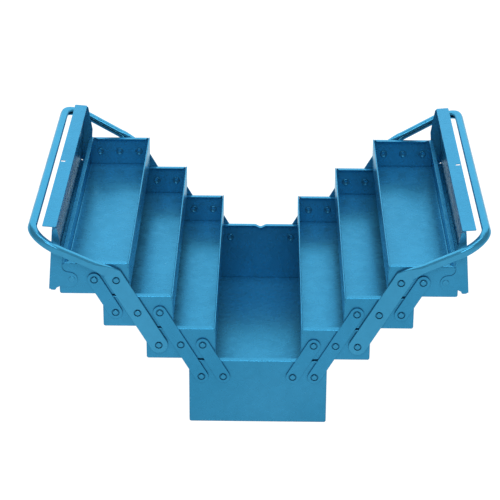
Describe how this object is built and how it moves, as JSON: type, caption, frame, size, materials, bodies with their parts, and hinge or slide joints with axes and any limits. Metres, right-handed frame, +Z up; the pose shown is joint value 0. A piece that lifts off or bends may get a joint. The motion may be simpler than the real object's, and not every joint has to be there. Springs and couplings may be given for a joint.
{
  "type": "toolbox with trays",
  "caption": "Cantilever toolbox of painted sheet steel, open: deep base, stepped trays on parallel links, hinged lids and tubular carrying handles.",
  "frame": {"origin": "middle of the base's underside, on the surface it stands on", "axes": "+X across the open box, along its longest side; +Y along the trays, away from the near end; +Z up"},
  "size_m": [0.6566, 0.5506, 0.3098],
  "materials": {
    "sheet_enamel": "satin blue enamel",
    "link_enamel": "satin blue enamel",
    "handle_enamel": "gloss blue enamel",
    "rivet_enamel": "satin blue enamel"
  },
  "bodies": {
    "base": {"base_trough": "sheet_enamel", "base_near_end_plate": "sheet_enamel", "base_far_end_plate": "sheet_enamel", "left_near_base_outer_rivet": "rivet_enamel", "left_near_base_inner_rivet": "rivet_enamel", "left_far_base_outer_rivet": "rivet_enamel", "left_far_base_inner_rivet": "rivet_enamel", "right_near_base_outer_rivet": "rivet_enamel", "right_near_base_inner_rivet": "rivet_enamel", "right_far_base_outer_rivet": "rivet_enamel", "right_far_base_inner_rivet": "rivet_enamel"},
    "left_tray_1": {"left_tray_1_trough": "sheet_enamel", "left_tray_1_near_end_plate": "sheet_enamel", "left_tray_1_far_end_plate": "sheet_enamel"},
    "left_tray_2": {"left_tray_2_trough": "sheet_enamel", "left_tray_2_near_end_plate": "sheet_enamel", "left_tray_2_far_end_plate": "sheet_enamel"},
    "left_tray_3": {"left_tray_3_trough": "sheet_enamel", "left_tray_3_near_end_plate": "sheet_enamel", "left_tray_3_far_end_plate": "sheet_enamel", "left_near_top_tray_middle_rivet": "rivet_enamel", "left_near_top_tray_inner_rivet": "rivet_enamel", "left_near_lid_pivot_rivet": "rivet_enamel", "left_far_top_tray_middle_rivet": "rivet_enamel", "left_far_top_tray_inner_rivet": "rivet_enamel", "left_far_lid_pivot_rivet": "rivet_enamel"},
    "left_inner_links": {"left_near_inner_link": "link_enamel", "left_far_inner_link": "link_enamel"},
    "left_long_links": {"left_near_long_link": "link_enamel", "left_far_long_link": "link_enamel"},
    "left_outer_links": {"left_near_outer_link": "link_enamel", "left_far_outer_link": "link_enamel"},
    "left_handle": {"left_handle": "handle_enamel"},
    "left_lid": {"left_lid": "sheet_enamel", "left_lid_lock_strip": "sheet_enamel"},
    "right_tray_1": {"right_tray_1_trough": "sheet_enamel", "right_tray_1_near_end_plate": "sheet_enamel", "right_tray_1_far_end_plate": "sheet_enamel"},
    "right_tray_2": {"right_tray_2_trough": "sheet_enamel", "right_tray_2_near_end_plate": "sheet_enamel", "right_tray_2_far_end_plate": "sheet_enamel"},
    "right_tray_3": {"right_tray_3_trough": "sheet_enamel", "right_tray_3_near_end_plate": "sheet_enamel", "right_tray_3_far_end_plate": "sheet_enamel", "right_near_top_tray_middle_rivet": "rivet_enamel", "right_near_top_tray_inner_rivet": "rivet_enamel", "right_near_lid_pivot_rivet": "rivet_enamel", "right_far_top_tray_middle_rivet": "rivet_enamel", "right_far_top_tray_inner_rivet": "rivet_enamel", "right_far_lid_pivot_rivet": "rivet_enamel"},
    "right_inner_links": {"right_near_inner_link": "link_enamel", "right_far_inner_link": "link_enamel"},
    "right_long_links": {"right_near_long_link": "link_enamel", "right_far_long_link": "link_enamel"},
    "right_outer_links": {"right_near_outer_link": "link_enamel", "right_far_outer_link": "link_enamel"},
    "right_handle": {"right_handle": "handle_enamel"},
    "right_lid": {"right_lid": "sheet_enamel", "right_lid_lock_strip": "sheet_enamel"}
  },
  "joints": [
    {"name": "left_trays", "type": "hinge", "parent": "base", "child": "left_long_links", "pos_m": [-0.082, 0, 0.0753], "axis": [0, 1, 0], "range_deg": [0, 62.5]},
    {"name": "left_inner_links_swing", "type": "hinge", "parent": "base", "child": "left_inner_links", "pos_m": [-0.0504, 0, 0.0753], "axis": [0, 1, 0], "range_deg": [0, 62.5]},
    {"name": "left_tray_1_level", "type": "hinge", "parent": "left_long_links", "child": "left_tray_1", "pos_m": [-0.1116, 0, 0.12634], "axis": [0, 1, 0], "range_deg": [-62.5, 0]},
    {"name": "left_tray_2_level", "type": "hinge", "parent": "left_long_links", "child": "left_tray_2", "pos_m": [-0.1412, 0, 0.17738], "axis": [0, 1, 0], "range_deg": [-62.5, 0]},
    {"name": "left_handle_swing", "type": "hinge", "parent": "left_tray_2", "child": "left_handle", "pos_m": [-0.1728, 0, 0.17738], "axis": [0, 1, 0], "range_deg": [0, 62.5]},
    {"name": "left_tray_3_level", "type": "hinge", "parent": "left_handle", "child": "left_tray_3", "pos_m": [-0.2024, 0, 0.22841], "axis": [0, 1, 0], "range_deg": [-62.5, 0]},
    {"name": "left_outer_links_swing", "type": "hinge", "parent": "left_tray_3", "child": "left_outer_links", "pos_m": [-0.234, 0, 0.22841], "axis": [0, 1, 0], "range_deg": [0, 62.5]},
    {"name": "left_lid_hinge", "type": "hinge", "parent": "left_tray_3", "child": "left_lid", "pos_m": [-0.2656, 0, 0.22841], "axis": [0, 1, 0], "range_deg": [0, 85.5]},
    {"name": "right_trays", "type": "hinge", "parent": "base", "child": "right_long_links", "pos_m": [0.082, 0, 0.0753], "axis": [0, -1, 0], "range_deg": [0, 62.5]},
    {"name": "right_inner_links_swing", "type": "hinge", "parent": "base", "child": "right_inner_links", "pos_m": [0.0504, 0, 0.0753], "axis": [0, -1, 0], "range_deg": [0, 62.5]},
    {"name": "right_tray_1_level", "type": "hinge", "parent": "right_long_links", "child": "right_tray_1", "pos_m": [0.1116, 0, 0.12634], "axis": [0, -1, 0], "range_deg": [-62.5, 0]},
    {"name": "right_tray_2_level", "type": "hinge", "parent": "right_long_links", "child": "right_tray_2", "pos_m": [0.1412, 0, 0.17738], "axis": [0, -1, 0], "range_deg": [-62.5, 0]},
    {"name": "right_handle_swing", "type": "hinge", "parent": "right_tray_2", "child": "right_handle", "pos_m": [0.1728, 0, 0.17738], "axis": [0, -1, 0], "range_deg": [0, 62.5]},
    {"name": "right_tray_3_level", "type": "hinge", "parent": "right_handle", "child": "right_tray_3", "pos_m": [0.2024, 0, 0.22841], "axis": [0, -1, 0], "range_deg": [-62.5, 0]},
    {"name": "right_outer_links_swing", "type": "hinge", "parent": "right_tray_3", "child": "right_outer_links", "pos_m": [0.234, 0, 0.22841], "axis": [0, -1, 0], "range_deg": [0, 62.5]},
    {"name": "right_lid_hinge", "type": "hinge", "parent": "right_tray_3", "child": "right_lid", "pos_m": [0.2656, 0, 0.22841], "axis": [0, -1, 0], "range_deg": [0, 85.5]}
  ],
  "couplings": [
    {"joint": "left_inner_links_swing", "follows": "left_trays", "ratio": 1},
    {"joint": "left_tray_1_level", "follows": "left_trays", "ratio": -1},
    {"joint": "left_tray_2_level", "follows": "left_trays", "ratio": -1},
    {"joint": "left_handle_swing", "follows": "left_trays", "ratio": 1},
    {"joint": "left_tray_3_level", "follows": "left_trays", "ratio": -1},
    {"joint": "left_outer_links_swing", "follows": "left_trays", "ratio": 1},
    {"joint": "left_lid_hinge", "follows": "left_trays", "ratio": 1.368},
    {"joint": "right_inner_links_swing", "follows": "right_trays", "ratio": 1},
    {"joint": "right_tray_1_level", "follows": "right_trays", "ratio": -1},
    {"joint": "right_tray_2_level", "follows": "right_trays", "ratio": -1},
    {"joint": "right_handle_swing", "follows": "right_trays", "ratio": 1},
    {"joint": "right_tray_3_level", "follows": "right_trays", "ratio": -1},
    {"joint": "right_outer_links_swing", "follows": "right_trays", "ratio": 1},
    {"joint": "right_lid_hinge", "follows": "right_trays", "ratio": 1.368}
  ]
}
